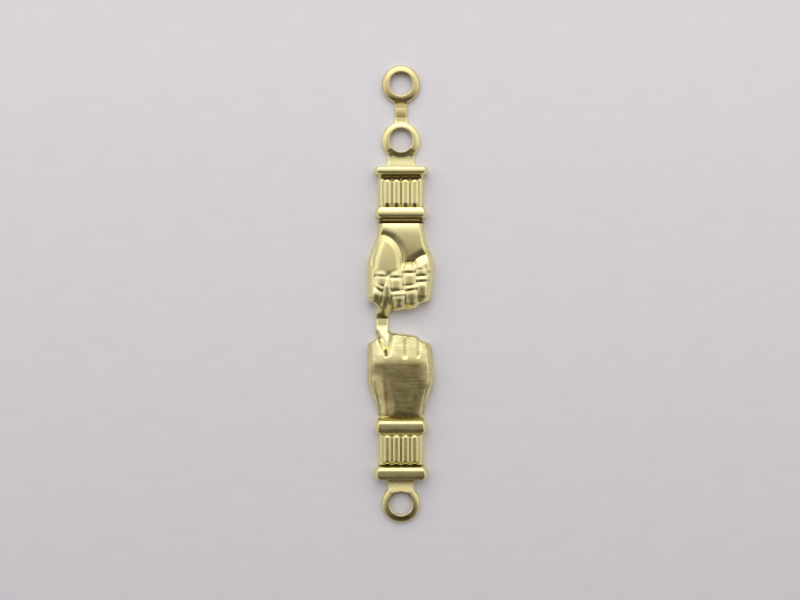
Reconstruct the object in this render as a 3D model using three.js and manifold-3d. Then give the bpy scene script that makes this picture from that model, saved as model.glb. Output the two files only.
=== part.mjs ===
// A fold-over figa charm, stamped from one strip of thin brass sheet and lying flat, not yet folded.
// Millimetres. X runs across the strip, Y along it towards the lock ring, Z up from the cut rim.
// The strip is a single piece of metal. Its regions meet on straight planes at its own creases, and
// two short bend strips, at the thumb tip and at the neck of the lock ring, are where it folds.

import * as THREE from 'three';
import { mergeVertices } from 'three/addons/utils/BufferGeometryUtils.js';
import Module from 'manifold-3d';

const wasm = await Module();
wasm.setup();

// The sheet
const sheet = 0.3;

// The two bends: metal given to each of them, and the width of the neck
const thumbStripLength = 0.7;
const neckStripLength = 1.0;
const neckLand = 0.39;
const neckWidth = 1.24;
const neckFlare = 0.42;
const neckFlareReach = 0.4;

// The hand, the same outline on both halves so that their rims meet when folded
const handHalfWidth = 3.35;
const palmLength = 9.85;
const backHandSetback = 0.5;
const handRelief = 1.5;
const handWall = 0.74;
const thumbRamp = 0.9;

// Beads and cuffs of the front half, each groove on the side nearer to the hand
const frontWristGroove = 0.5;
const frontWristBead = 1.1;
const frontCuffLength = 2.8;
const frontEndGroove = 0.4;
const frontEndBead = 0.95;
const frontShank = 0.62;

// Beads and cuffs of the back half
const backWristGroove = 0.35;
const backWristBead = 1.4;
const backCuffLength = 3.0;
const backEndGroove = 0.25;
const backEndBead = 1.45;

const cuffHalfWidth = 2.3;
const cuffWall = 0.5;
const cuffRelief = 0.8;
const ribCount = 4;
const ribDepth = 0.34;
const ribEnd = 0.34;

const wristBeadHalfWidth = 2.62;
const endBeadHalfWidth = 2.72;
const wristBeadCorner = 0.32;
const endBeadCorner = 0.42;
const frontOuterCorner = 0.55;
const backOuterCorner = 0.75;
const beadWall = 0.45;
const beadRelief = 1.3;
const beadFoot = 1.08;
const beadDrop = 0.17;
const grooveLip = 0.08;
const grooveTop = 0.86;
const grooveLow = 0.55;
const beadFullness = 2.4;
const backBeadOuterFullness = 5;
const beadPeak = -0.35;

// Rings and the flat shanks that carry them
const ringOuterRadius = 1.92;
const ringHoleRadius = 1.15;
const ringCrestRadius = 1.2;
const ringBulge = 0.3;
const ringHem = 0.05;
const shankWidth = 2.6;
const shankFoot = 3.1;

// Mesh steps
const ringSegments = 36;
const ringBandSteps = 4;
const wallSteps = 3;
const handColumns = 19;
const fineRow = 0.19;
const coarseRow = 0.34;
const palmFineRows = 5.5;
const backFineRows = 3.6;
const columnsPerRib = 5;
const beadColumns = 7;
const beadRows = 7;

// The hand is drawn on a grid of its own: 33.5 steps to its widest, 98.5 to the palm's end, 15 high
const acrossStep = handHalfWidth / 33.5;
const alongStep = palmLength / 98.5;
const upStep = handRelief / 15;

// Outline on that grid: steps from the fold, then across. Left is the index finger's side of the palm.
const drawnLeft = [
  [0, -24.8], [9, -25], [14.5, -24.5], [17.5, -26.2], [19.5, -30], [22, -32.8], [27, -33.5],
  [56, -33.5], [63, -32.5], [73, -29], [85, -24.5], [94, -22.8], [104, -22],
];
const drawnRight = [
  [0, -12.8], [8, -12.4], [9.5, -11], [10.8, -7], [11.4, -1], [12, 5], [13, 12], [14.5, 16.5],
  [18, 19.5], [19.8, 25], [21.5, 28.6], [25, 30.4], [35, 31.6], [48, 33.2], [55, 33.5], [63, 32.4],
  [71, 29.2], [80, 25.8], [90, 23.2], [96, 22.5], [104, 22],
];

// The palm sinks gently from the wrist, more so beside the mounds, and the fingers lie over its end
const palm = { top: 12.2, levelFrom: 84, sag: 0.0019, valley: 2, fingerValley: 0.8, bank: 8 };
const palmWrist = { from: 86, fall: 0.01 };
const fingerFloor = { tips: 3, roots: 12.2, from: 10, to: 27, palmFrom: 51, palmTo: 59 };
const fingerRow = [[-30, 52], [-1, 53], [5, 58.5], [13, 60], [32, 56], [32, 10], [-30, 10]];

// The mounds under the thumb and under the little finger
const mounds = [
  {
    top: 13.4, crown: 51, lean: 0, arch: 0.0019, bank: 6,
    outline: [
      [-27.5, 46], [-27.5, 61], [-25, 71], [-21.5, 81], [-19.3, 86], [-17.5, 86.6], [-12, 84.5],
      [-7, 80.5], [-3, 75], [-0.5, 69], [0.5, 62], [0, 54], [-2, 49], [-7.5, 46], [-13, 45], [-20, 45],
    ],
  },
  {
    top: 13.6, crown: 53, lean: 0.12, arch: 0, bank: 8,
    outline: [
      [31, 68], [26.5, 67], [22.6, 66.1], [19.5, 65], [16.5, 63], [14, 61], [12, 57.5], [12.5, 53],
      [16, 50], [24, 49], [31, 51], [33.5, 60],
    ],
  },
];
const moundLip = { width: 1.3, share: 0.4 };
const moundRoundness = 1.3;

// Segments of the bent fingers, three to a finger from its tip to its middle knuckle: across, along,
// reach each way, height, fall towards the wrist, turn. Each swelling is flat on top and full along.
const phalanges = [
  [-19.6, 49.6, 6.4, 4.6, 13.8, 0.2, -0.1],
  [-19.8, 40.5, 6.2, 5.5, 14.4, 0.02, -0.1],
  [-22, 35, 6, 2.3, 14.7, 0.1, -0.62],
  [-5.2, 48.4, 6, 4.6, 13.8, 0.2, 0],
  [-5, 37.4, 6.2, 7.1, 14.6, 0.02, 0],
  [-2.2, 28, 7.4, 2.3, 14.7, 0.1, 0.08],
  [8.2, 53.6, 6.2, 5, 13.8, 0.2, 0],
  [8.6, 42, 6.6, 7, 14.6, 0.02, 0],
  [9.6, 34, 7.4, 2.4, 14.7, 0.1, 0.16],
  [19.4, 56.2, 6, 4.6, 13.7, 0.2, 0],
  [20.4, 49.3, 6, 3.6, 14.3, 0.04, 0],
  [21.3, 42.8, 6.4, 2.5, 14.5, 0.1, 0.08],
];
const fullness = { across: 2.4, along: 5, crown: 0.65 };

// Ridges as stations of across, along, radius and height: the knuckles at the fold, then the two thumbs
const frontRidges = [
  [[-25.8, 27.5, 7.8, 15], [-27.2, 23, 8, 14.2], [-28.5, 19, 7, 11]],
  [[-2, 23, 7.8, 15], [-2, 18, 7.8, 14.2], [-1.8, 11.5, 7, 9]],
  [[10.4, 27.5, 7.4, 15], [10.6, 20.5, 7.4, 14.3], [10.8, 13.5, 6.6, 9.5]],
  [[21.4, 35, 6.8, 14.8], [21.8, 28, 7, 14.2], [22.6, 21.5, 6.4, 10.5]],
  [[-12, 45, 2, 13.6], [-13.8, 35, 4.6, 15], [-13.8, 26, 5.6, 14.2], [-16.6, 17, 6.4, 12],
    [-18.2, 9, 6.8, 7.8], [-18.8, 2, 7, 3]],
];
const backThumb = [
  [-14.2, 26, 1.4, 8.6], [-13.8, 22, 3.4, 8.6], [-14.6, 16, 4.6, 6.4], [-16.6, 11, 5.2, 4.6],
  [-18.8, 4, 5.8, 3],
];
const ridgeCrown = 0.75;

// The back of the hand: a low dome that falls to the finger tips, leans on the thumb's side, and is
// cut by two grooves and by the fork that the thumb comes out of
const back = { top: 13.4, dome: 1.8, domeAt: 3, domeReach: 26 };
const knuckleLine = { at: 41, round: 8, slope: 0.22 };
const backWrist = { slope: 0.045, from: 89, fall: 0.02 };
const thumbSide = { slope: 0.2, at: -15, wristAt: -6, from: 43, length: 34, blend: 2.5, starts: [38, 55] };
const backGrooves = [
  { from: [3.6, 6], to: [3.6, 33.5], half: 2.4, depth: 2 },
  { from: [17, 9], to: [16.6, 33], half: 2, depth: 1.8 },
];
const grooveRoundness = 0.8;
const fork = {
  depth: 5, bank: 4,
  outline: [[-27.5, 6], [-26.2, 13.5], [-15.2, 35], [-14, 35], [-8.4, 15], [-8.4, 6]],
};

// How far each half's face rolls over towards its sides, as a share of its height and a distance
const palmRoll = 0.06;
const backRoll = 0.2;
const rollReach = 1.7;

// Stations along the strip, from the thumb fold
const thumbStripEnd = thumbStripLength / 2;
const backHandLength = palmLength - backHandSetback;
const frontCuffStart = palmLength + frontWristGroove + frontWristBead;
const frontEndStart = frontCuffStart + frontCuffLength;
const frontShankStart = frontEndStart + frontEndGroove + frontEndBead;
const ringCentre = frontShankStart + frontShank + ringOuterRadius;
const backCuffStart = backHandLength + backWristGroove + backWristBead;
const backEndStart = backCuffStart + backCuffLength;
const backShankStart = backEndStart + backEndGroove + backEndBead;
const neckStart = ringCentre + ringOuterRadius;
const neckStripStart = neckStart + neckLand;
const neckStripEnd = neckStripStart + neckStripLength;
const lockRingCentre = neckStripEnd + neckLand + ringOuterRadius;
const stripMiddle = (lockRingCentre - ringCentre) / 2;

const clamp01 = (value) => Math.min(Math.max(value, 0), 1);
const mix = (a, b, share) => a + (b - a) * share;
const smoothStep = (from, to, value) => {
  const share = clamp01((value - from) / (to - from));
  return share * share * (3 - 2 * share);
};
const smoothMax = (a, b, blend) => {
  const share = clamp01(0.5 + (a - b) / (2 * blend));
  return mix(b, a, share) + blend * share * (1 - share);
};

// A side wall rises like a quarter ellipse, and its steps follow even turns of it
const wallRise = (inset, wall) => Math.sqrt(1 - (1 - clamp01(inset / wall)) ** 2);
const wallStep = (i) => 1 - Math.cos((i / wallSteps) * (Math.PI / 2));

const placed = ([along, across]) => [across * acrossStep, along * alongStep];
const leftOutline = drawnLeft.map(placed);
const rightOutline = drawnRight.map(placed);

function edgeAt(outline, y) {
  const next = Math.max(1, outline.findIndex(([, along]) => along >= y));
  const [x0, y0] = outline[next - 1];
  const [x1, y1] = outline[next];
  return mix(x0, x1, (y - y0) / (y1 - y0));
}

function segmentDistance(x, y, [ax, ay], [bx, by]) {
  const [dx, dy] = [bx - ax, by - ay];
  const share = clamp01(((x - ax) * dx + (y - ay) * dy) / (dx * dx + dy * dy));
  return { share, distance: Math.hypot(x - ax - dx * share, y - ay - dy * share) };
}

function outlineDistance(x, y) {
  let nearest = Infinity;
  for (const outline of [leftOutline, rightOutline]) {
    for (let i = 1; i < outline.length; i += 1) {
      nearest = Math.min(nearest, segmentDistance(x, y, outline[i - 1], outline[i]).distance);
    }
  }
  return nearest;
}

// Distance in from a closed outline, negative outside it
function depthInside(x, y, outline) {
  let within = false;
  let nearest = Infinity;
  outline.forEach((corner, i) => {
    const before = outline[(i || outline.length) - 1];
    const [[x0, y0], [x1, y1]] = [before, corner];
    const spans = y0 > y !== y1 > y;
    if (spans && x < ((x1 - x0) * (y - y0)) / (y1 - y0) + x0) within = !within;
    nearest = Math.min(nearest, segmentDistance(x, y, before, corner).distance);
  });
  return within ? nearest : -nearest;
}

// A swelling: 1 over its middle and 0 outside
function swelling(x, y, at, reach, turn) {
  const u = (x - at[0]) * Math.cos(turn) + (y - at[1]) * Math.sin(turn);
  const v = (y - at[1]) * Math.cos(turn) - (x - at[0]) * Math.sin(turn);
  const fall = Math.abs(u / reach[0]) ** fullness.across + Math.abs(v / reach[1]) ** fullness.along;
  return clamp01(1 - fall) ** fullness.crown;
}

// A rounded ridge through its stations, over a floor
function ridge(x, y, stations, floor) {
  let height = floor;
  for (let i = 1; i < stations.length; i += 1) {
    const [[ax, ay, r0, h0], [bx, by, r1, h1]] = [stations[i - 1], stations[i]];
    const { share, distance } = segmentDistance(x, y, [ax, ay], [bx, by]);
    const radius = mix(r0, r1, share);
    if (distance < radius) {
      const profile = (1 - (distance / radius) ** 2) ** ridgeCrown;
      height = Math.max(height, mix(floor, mix(h0, h1, share), profile));
    }
  }
  return height;
}

function palmHeight(x, y) {
  const depths = mounds.map(({ outline }) => depthInside(x, y, outline));
  const near = (depth) => (1 - clamp01(-depth / palm.bank)) ** 2;
  const byMounds = palm.valley * near(Math.max(...depths));
  const valley = Math.max(byMounds, palm.fingerValley * near(depthInside(x, y, fingerRow)));
  const sag = palm.sag * Math.max(palm.levelFrom - y, 0) ** 2;
  const wristFall = palmWrist.fall * Math.max(y - palmWrist.from, 0) ** 2;
  const tips = smoothStep(fingerFloor.from, fingerFloor.to, y);
  const betweenFingers = mix(fingerFloor.tips, fingerFloor.roots, tips);
  const share = smoothStep(fingerFloor.palmFrom, fingerFloor.palmTo, y);
  const floor = mix(betweenFingers, palm.top - valley - sag - wristFall, share);
  let height = floor;
  mounds.forEach(({ top, crown, lean, arch, bank }, i) => {
    const crest = top - lean * (y - crown) - arch * (y - crown) ** 2;
    const lip = 1 - (1 - clamp01(depths[i] / moundLip.width)) ** 2;
    const body = 1 - (1 - clamp01(depths[i] / bank)) ** moundRoundness;
    height = Math.max(height, mix(floor, crest, mix(body, lip, moundLip.share)));
  });
  for (const [across, along, reachX, reachY, top, fall, turn] of phalanges) {
    const raised = swelling(x, y, [across, along], [reachX, reachY], turn);
    height = Math.max(height, mix(floor, top - fall * (y - along), raised));
  }
  for (const stations of frontRidges) height = Math.max(height, ridge(x, y, stations, floor));
  return height;
}

function backHeight(x, y) {
  const past = Math.max(knuckleLine.at - y, 0);
  const turned = Math.min(past, knuckleLine.round);
  const fall = knuckleLine.slope * (turned ** 2 / (2 * knuckleLine.round) + past - turned);
  const dome = back.dome * (1 - ((x - back.domeAt) / back.domeReach) ** 2);
  const towardsWrist = backWrist.slope * Math.max(y - knuckleLine.at, 0);
  const wrist = towardsWrist + backWrist.fall * Math.max(y - backWrist.from, 0) ** 2;
  const fold = mix(thumbSide.at, thumbSide.wristAt, clamp01((y - thumbSide.from) / thumbSide.length));
  const lean = thumbSide.slope * smoothMax(fold - x, 0, thumbSide.blend);
  let height = back.top + dome - fall - wrist - lean * smoothStep(...thumbSide.starts, y);
  for (const { from, to, half, depth } of backGrooves) {
    const cut = clamp01(1 - segmentDistance(x, y, from, to).distance / half);
    height -= depth * cut ** grooveRoundness;
  }
  const open = smoothStep(0, fork.bank, depthInside(x, y, fork.outline));
  return open > 0 ? ridge(x, y, backThumb, height - fork.depth * open) : height;
}

// Relief of the hand at a point, a given distance in from the cut edge
const reliefOfHand = (height, roll) => (x, y, inset) => {
  const rolled = 1 - roll * (1 - clamp01(inset / rollReach)) ** 2;
  const face = height(x / acrossStep, y / alongStep) * upStep * rolled;
  return face * wallRise(inset, handWall) * smoothStep(thumbStripEnd, thumbStripEnd + thumbRamp, y);
};

// A closed shell over rows of points: the outside stands one sheet over the relief, and the inside is
// the same relief one sheet further in from the edge, flat at the rim.
function shell(rows, relief, edgeDistance) {
  const width = rows[0].length;
  const positions = [];
  for (const inset of [0, sheet]) {
    for (const row of rows) {
      for (const [x, y] of row) {
        const rise = relief(x, y, Math.max(edgeDistance(x, y) - inset, 0));
        positions.push(x, y, inset === 0 ? rise + sheet : rise);
      }
    }
  }
  const layer = rows.length * width;
  const indices = [];
  const face = (a, b, c, d) => indices.push(a, b, c, a, c, d);
  const at = (row, column) => row * width + column;
  for (let j = 1; j < rows.length; j += 1) {
    for (let i = 1; i < width; i += 1) {
      const corners = [at(j - 1, i - 1), at(j - 1, i), at(j, i), at(j, i - 1)];
      face(...corners);
      face(...corners.reverse().map((corner) => corner + layer));
    }
    face(at(j - 1, 0), at(j, 0), at(j, 0) + layer, at(j - 1, 0) + layer);
    const [near, far] = [at(j - 1, width - 1), at(j, width - 1)];
    face(far, near, near + layer, far + layer);
  }
  const last = rows.length - 1;
  for (let i = 1; i < width; i += 1) {
    face(at(0, i), at(0, i - 1), at(0, i - 1) + layer, at(0, i) + layer);
    face(at(last, i - 1), at(last, i), at(last, i) + layer, at(last, i - 1) + layer);
  }
  const geometry = new THREE.BufferGeometry();
  geometry.setAttribute('position', new THREE.Float32BufferAttribute(positions, 3));
  geometry.setIndex(indices);
  return geometry;
}

// Points across one row, closer together over the side walls
function rowPoints(y, left, right, wall, middleColumns) {
  const side = Math.min(wall, (right - left) * 0.4);
  const row = [];
  for (let i = 0; i <= wallSteps; i += 1) row.push([left + side * wallStep(i), y]);
  for (let i = 1; i < middleColumns; i += 1) {
    row.push([mix(left + side, right - side, i / middleColumns), y]);
  }
  for (let i = wallSteps; i >= 0; i -= 1) row.push([right - side * wallStep(i), y]);
  return row;
}

const evenSteps = (from, to, steps) => {
  const values = [];
  for (let i = 0; i <= steps; i += 1) values.push(mix(from, to, i / steps));
  return values;
};

function hand(height, roll, length, fineUntil) {
  const fine = evenSteps(thumbStripEnd, fineUntil, Math.round((fineUntil - thumbStripEnd) / fineRow));
  const coarse = evenSteps(fineUntil, length, Math.round((length - fineUntil) / coarseRow));
  const rows = [...fine, ...coarse.slice(1)].map((y) =>
    rowPoints(y, edgeAt(leftOutline, y), edgeAt(rightOutline, y), handWall, handColumns),
  );
  return shell(rows, reliefOfHand(height, roll), outlineDistance);
}

// A bead across the strip with rounded ends, fullest a little on the hand's side of its middle, beyond
// a groove whose floor slants from one height to another. The end beads drop to the flat shank.
function bead(settings) {
  const { start, groove, length, halfWidth, corner, outerCorner, grooveFloor, drops } = settings;
  const crown = start + groove + length / 2;
  const end = start + groove + length;
  const swing = (y) => Math.sqrt(clamp01(1 - ((y - crown) / (length / 2)) ** 2));
  const edge = (y) => halfWidth - (y > crown ? outerCorner : corner) * (1 - swing(y));
  const relief = (x, y, inset) => {
    const fromPeak = (y - crown) / (length / 2) - beadPeak;
    const pastPeak = fromPeak / (fromPeak > 0 ? 1 - beadPeak : 1 + beadPeak);
    const fullness = pastPeak > 0 ? settings.outerFullness : beadFullness;
    const full = clamp01(1 - Math.abs(pastPeak) ** fullness);
    const inGroove = mix(...grooveFloor, clamp01((y - start) / groove));
    const face = y < start + groove ? inGroove : mix(beadFoot, beadRelief, full);
    return face * wallRise(inset, beadWall) * (drops ? smoothStep(0, beadDrop, end - y) : 1);
  };
  const crownYs = evenSteps(0, Math.PI, beadRows).map((turn) => crown - (Math.cos(turn) * length) / 2);
  const dropYs = drops ? [end - beadDrop, end - beadDrop / 2] : [];
  const ys = [start, start + groove - grooveLip, ...crownYs, ...dropYs].sort((a, b) => a - b);
  const rows = ys.map((y) => rowPoints(y, -edge(y), edge(y), beadWall, beadColumns));
  return shell(rows, relief, (x, y) => edge(y) - Math.abs(x));
}

// A cuff with rounded ribs side by side along the strip
function cuff(start, length) {
  const ribPitch = (2 * (cuffHalfWidth - cuffWall)) / ribCount;
  const relief = (x, y, inset) => {
    const place = x / ribPitch + (ribCount - 1) / 2;
    const offRib = 2 * (place - Math.round(THREE.MathUtils.clamp(place, 0, ribCount - 1)));
    const fromEnd = Math.min(y - start, start + length - y);
    const pastEnd = 1 - clamp01(fromEnd / ribEnd);
    const crest = Math.sqrt(clamp01(1 - offRib ** 2 - pastEnd ** 2));
    return (cuffRelief + ribDepth * crest) * wallRise(inset, cuffWall);
  };
  const nearYs = [0, 1, 2, 3].map((i) => start + ribEnd * (i / 3) ** 2);
  const rows = [...nearYs, ...nearYs.map((y) => 2 * start + length - y).reverse()].map((y) =>
    rowPoints(y, -cuffHalfWidth, cuffHalfWidth, cuffWall, ribCount * columnsPerRib),
  );
  return shell(rows, relief, (x) => cuffHalfWidth - Math.abs(x));
}

function toSolid(geometry) {
  const bare = geometry.clone();
  bare.deleteAttribute('normal');
  bare.deleteAttribute('uv');
  const merged = mergeVertices(bare, 1e-5);
  const mesh = new wasm.Mesh({
    numProp: 3,
    vertProperties: Float32Array.from(merged.attributes.position.array),
    triVerts: Uint32Array.from(merged.index.array),
  });
  return new wasm.Manifold(mesh);
}

function toGeometry(solid) {
  const { vertProperties, triVerts } = solid.getMesh();
  const geometry = new THREE.BufferGeometry();
  geometry.setAttribute('position', new THREE.BufferAttribute(vertProperties, 3));
  geometry.setIndex(new THREE.BufferAttribute(triVerts, 1));
  return geometry;
}

// A ring whose face is level by the hole and rounds over to the rim, and whose underside follows it,
// so that rings nest in one another when folded
function domedRing(centre) {
  const roundOver = (outer, lift) => evenSteps(0, Math.PI / 2, ringBandSteps).map((turn) => {
    const radius = mix(ringCrestRadius, outer, Math.sin(turn));
    return new THREE.Vector2(radius, ringBulge * Math.cos(turn) + lift);
  });
  const hole = [0, sheet].map((lift) => new THREE.Vector2(ringHoleRadius, ringBulge + lift));
  const rim = new THREE.Vector2(ringOuterRadius, 0);
  const below = roundOver(ringOuterRadius - ringHem, 0);
  const above = roundOver(ringOuterRadius, sheet).reverse();
  const section = [hole[0], ...below, rim, ...above, hole[1], hole[0]];
  const geometry = new THREE.LatheGeometry(section, ringSegments);
  geometry.rotateX(Math.PI / 2);
  geometry.translate(0, centre, 0);
  return geometry;
}

// A flat plate of the sheet, from its corners
function plate(corners) {
  const shape = new THREE.Shape(corners.map(([x, y]) => new THREE.Vector2(x, y)));
  return new THREE.ExtrudeGeometry(shape, { depth: sheet, bevelEnabled: false });
}

function ringWithPlates(centre, plates) {
  let solid = toSolid(domedRing(centre));
  for (const corners of plates) solid = solid.add(toSolid(plate(corners)));
  return toGeometry(solid);
}

// Where a plate as wide as this enters the ring's outer edge, a little inside it
const ringSeat = (width) => Math.sqrt(ringOuterRadius ** 2 - (width / 2) ** 2) - 0.02;

function shankPlate(start, centre) {
  const [foot, half, seat] = [shankFoot / 2, shankWidth / 2, centre - ringSeat(shankWidth)];
  return [[-foot, start], [foot, start], [half, seat], [-half, seat]];
}

// The neck beside a ring: side is 1 where it leaves the ring towards +Y and -1 towards -Y
function neckPlate(centre, side) {
  const [foot, half] = [neckWidth / 2 + neckFlare / 2, neckWidth / 2];
  const seat = centre + side * ringSeat(2 * foot);
  const flareEnd = centre + side * (ringOuterRadius + neckLand * neckFlareReach);
  const end = centre + side * (ringOuterRadius + neckLand);
  return [[-foot, seat], [foot, seat], [half, flareEnd], [half, end], [-half, end], [-half, flareEnd]];
}

function bendStrip(left, right, from, to) {
  return plate([[left, from], [right, from], [right, to], [left, to]]);
}

// The back half is laid out on the other side of the fold
function acrossFold(geometry) {
  geometry.scale(1, -1, 1);
  const corners = geometry.index.array;
  for (let i = 0; i < corners.length; i += 3) {
    [corners[i], corners[i + 1]] = [corners[i + 1], corners[i]];
  }
  return geometry;
}

const brass = { color: 0xb9a76c, roughness: 0.36, metalness: 1 };
const brushedBrass = { color: 0xa8935c, roughness: 0.48, metalness: 1 };
const strip = new THREE.Group();

function addPiece(name, geometry, finish = brass) {
  const mesh = new THREE.Mesh(geometry, new THREE.MeshStandardMaterial(finish));
  mesh.name = name;
  mesh.position.set(0, -stripMiddle, 0);
  strip.add(mesh);
}

// Grooves slant so that each floor faces down the laid-out strip
const frontBead = { outerFullness: beadFullness, grooveFloor: [grooveLow, grooveTop] };
const backBead = { outerFullness: backBeadOuterFullness, grooveFloor: [grooveTop, grooveLow] };

addPiece('palm', hand(palmHeight, palmRoll, palmLength, palmFineRows));
addPiece('front_wrist_bead', bead({
  ...frontBead,
  start: palmLength,
  groove: frontWristGroove,
  length: frontWristBead,
  halfWidth: wristBeadHalfWidth,
  corner: wristBeadCorner,
  outerCorner: wristBeadCorner,
}));
addPiece('front_fluted_cuff', cuff(frontCuffStart, frontCuffLength));
addPiece('front_end_bead', bead({
  ...frontBead,
  start: frontEndStart,
  groove: frontEndGroove,
  length: frontEndBead,
  halfWidth: endBeadHalfWidth,
  corner: endBeadCorner,
  outerCorner: frontOuterCorner,
  drops: true,
}));
addPiece('front_bail_ring', ringWithPlates(ringCentre, [
  shankPlate(frontShankStart, ringCentre),
  neckPlate(ringCentre, 1),
]));

const backOfHand = hand(backHeight, backRoll, backHandLength, backFineRows);
addPiece('back_of_hand', acrossFold(backOfHand), brushedBrass);
addPiece('back_wrist_bead', acrossFold(bead({
  ...backBead,
  start: backHandLength,
  groove: backWristGroove,
  length: backWristBead,
  halfWidth: wristBeadHalfWidth,
  corner: wristBeadCorner,
  outerCorner: wristBeadCorner,
})));
addPiece('back_fluted_cuff', acrossFold(cuff(backCuffStart, backCuffLength)));
addPiece('back_end_bead', acrossFold(bead({
  ...backBead,
  start: backEndStart,
  groove: backEndGroove,
  length: backEndBead,
  halfWidth: endBeadHalfWidth,
  corner: endBeadCorner,
  outerCorner: backOuterCorner,
  drops: true,
})));
addPiece('end_ring', acrossFold(ringWithPlates(ringCentre, [shankPlate(backShankStart, ringCentre)])));

addPiece('lock_ring', ringWithPlates(lockRingCentre, [neckPlate(lockRingCentre, -1)]));

const thumbLeft = edgeAt(leftOutline, thumbStripEnd);
const thumbRight = edgeAt(rightOutline, thumbStripEnd);
addPiece('thumb_bend_strip', bendStrip(thumbLeft, thumbRight, -thumbStripEnd, thumbStripEnd));
addPiece('neck_bend_strip', bendStrip(-neckWidth / 2, neckWidth / 2, neckStripStart, neckStripEnd));

export default strip;
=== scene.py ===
# A fold-over figa charm, stamped from one strip of brass sheet and lying flat on pale paper.
# Sizes below are in millimetres; meshes are written in metres. The strip runs along Y, and each half of
# it is laid out from the thumb fold: y counts outwards from the fold, and x runs across the strip.

import math

import bpy
import numpy as np
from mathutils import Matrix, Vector


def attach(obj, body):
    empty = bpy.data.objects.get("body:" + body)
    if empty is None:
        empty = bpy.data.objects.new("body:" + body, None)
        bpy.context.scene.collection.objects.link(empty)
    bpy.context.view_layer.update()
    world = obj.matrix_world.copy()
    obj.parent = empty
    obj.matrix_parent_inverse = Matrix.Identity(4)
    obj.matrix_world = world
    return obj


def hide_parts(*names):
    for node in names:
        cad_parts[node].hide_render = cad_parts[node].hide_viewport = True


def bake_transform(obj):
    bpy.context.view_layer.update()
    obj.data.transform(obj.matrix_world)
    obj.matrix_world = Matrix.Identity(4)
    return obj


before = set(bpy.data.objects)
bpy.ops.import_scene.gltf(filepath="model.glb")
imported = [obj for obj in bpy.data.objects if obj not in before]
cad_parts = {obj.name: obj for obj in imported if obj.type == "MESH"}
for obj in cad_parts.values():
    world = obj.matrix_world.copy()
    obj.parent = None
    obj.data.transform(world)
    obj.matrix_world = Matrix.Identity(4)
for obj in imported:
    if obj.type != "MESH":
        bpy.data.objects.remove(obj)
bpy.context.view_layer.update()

MM = 0.001

# The sheet's thickness, and how finely its meshes are made
SHEET = 0.3
PITCH = 0.045
WIDTH_STATIONS = 9
RING_SIDES = 216
RING_BANDS = 18
STRIP_COLUMNS = 24
STRIP_ROWS = 28

# Lengths along the strip
THUMB_STRIP_LENGTH = 0.7
PALM_LENGTH = 9.85
BACK_HAND_LENGTH = 9.35
FRONT_WRIST_GROOVE = 0.5
FRONT_WRIST_BEAD = 1.1
FRONT_CUFF = 2.8
FRONT_END_GROOVE = 0.4
FRONT_END_BEAD = 0.95
FRONT_SHANK = 0.62
BACK_WRIST_GROOVE = 0.35
BACK_WRIST_BEAD = 1.4
BACK_CUFF = 3.0
BACK_END_GROOVE = 0.25
BACK_END_BEAD = 1.45
NECK_LAND = 0.39
NECK_STRIP_LENGTH = 1.0

# Places across the strip
THUMB_LEFT = -2.48
THUMB_RIGHT = -1.28
NECK_WIDTH = 1.24
CUFF_HALF_WIDTH = 2.3

# A bead's half width, and how far its corners round in, towards the hand and away from it
WRIST_BEAD_EDGE = (2.62, 0.32, 0.32)
FRONT_END_BEAD_EDGE = (2.72, 0.42, 0.55)
BACK_END_BEAD_EDGE = (2.72, 0.42, 0.75)

# The rings: hole, where the face starts to round over, how far the tan band reaches, and the rim,
# then how high the face stands, how softly it blends, and how the underside meets the rim
RING_HOLE = 1.15
RING_CREST = 1.2
RING_BAND = 1.5
RING_OUTER = 1.92
RING_BULGE = 0.3
RING_BLEND = 0.07
UNDER_RIM = 0.12
LEAST_WALL = 0.15

# The tan of a ring's inner band, and its arc of painted shade on the -Y side: by direction, by distance
BAND_TINT = 0.4
BAND_SOFTNESS = 0.06
LOW_ARC = (0.6, 0.95)
LOW_ARC_OUTER = (1.75, 1.55)

# The plates that leave the rings: shanks, which widen at the foot, and necks, with a fillet by the ring
SHANK_WIDTH = 2.6
SHANK_FOOT = 3.1
FOOT_LENGTH = 0.55
FILLET_START = 1.45
FILLET_LENGTH = 0.8
FRONT_NECK_FILLET = 0.5
LOCK_NECK_FILLET = 0.25
PLATE_ROOT = 0.9
SADDLE_ARC = (0.62, 0.9)
SADDLE_TOP = 0.2
SADDLE_LOW = 1.8
SADDLE_POWER = 1.5
SADDLE_BLEND = 0.04
SHANK_RAMP = 0.08
NECK_SWELL = 0.035
THUMB_STRIP_SLOPE = 0.06

# Eased edges: how far the face drops at the edge, and over what width
RIM_EASE = (0.09, 0.14)
HOLE_EASE = (0.05, 0.1)
STRIP_EASE = (0.11, 0.22)

# Heights and walls of the beads, grooves and cuffs
BEAD_RELIEF = 1.3
BEAD_FOOT = 1.08
BEAD_WALL = 0.45
BEAD_FULLNESS = 2.4
BACK_BEAD_OUTER_FULLNESS = 5
BEAD_PEAK = -0.35        # where the crest lies: -1 at the bead's inner side and 1 at its outer side
BEAD_FOOT_RAMP = 0.17
GROOVE_LOW = 0.55
GROOVE_TOP = 0.86
CUFF_RELIEF = 0.8
CUFF_WALL = 0.5
RIB_COUNT = 4
RIB_PITCH = 2 * (CUFF_HALF_WIDTH - CUFF_WALL) / RIB_COUNT
RIB_END = 0.34
RIB_DEPTH = 0.34

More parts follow.
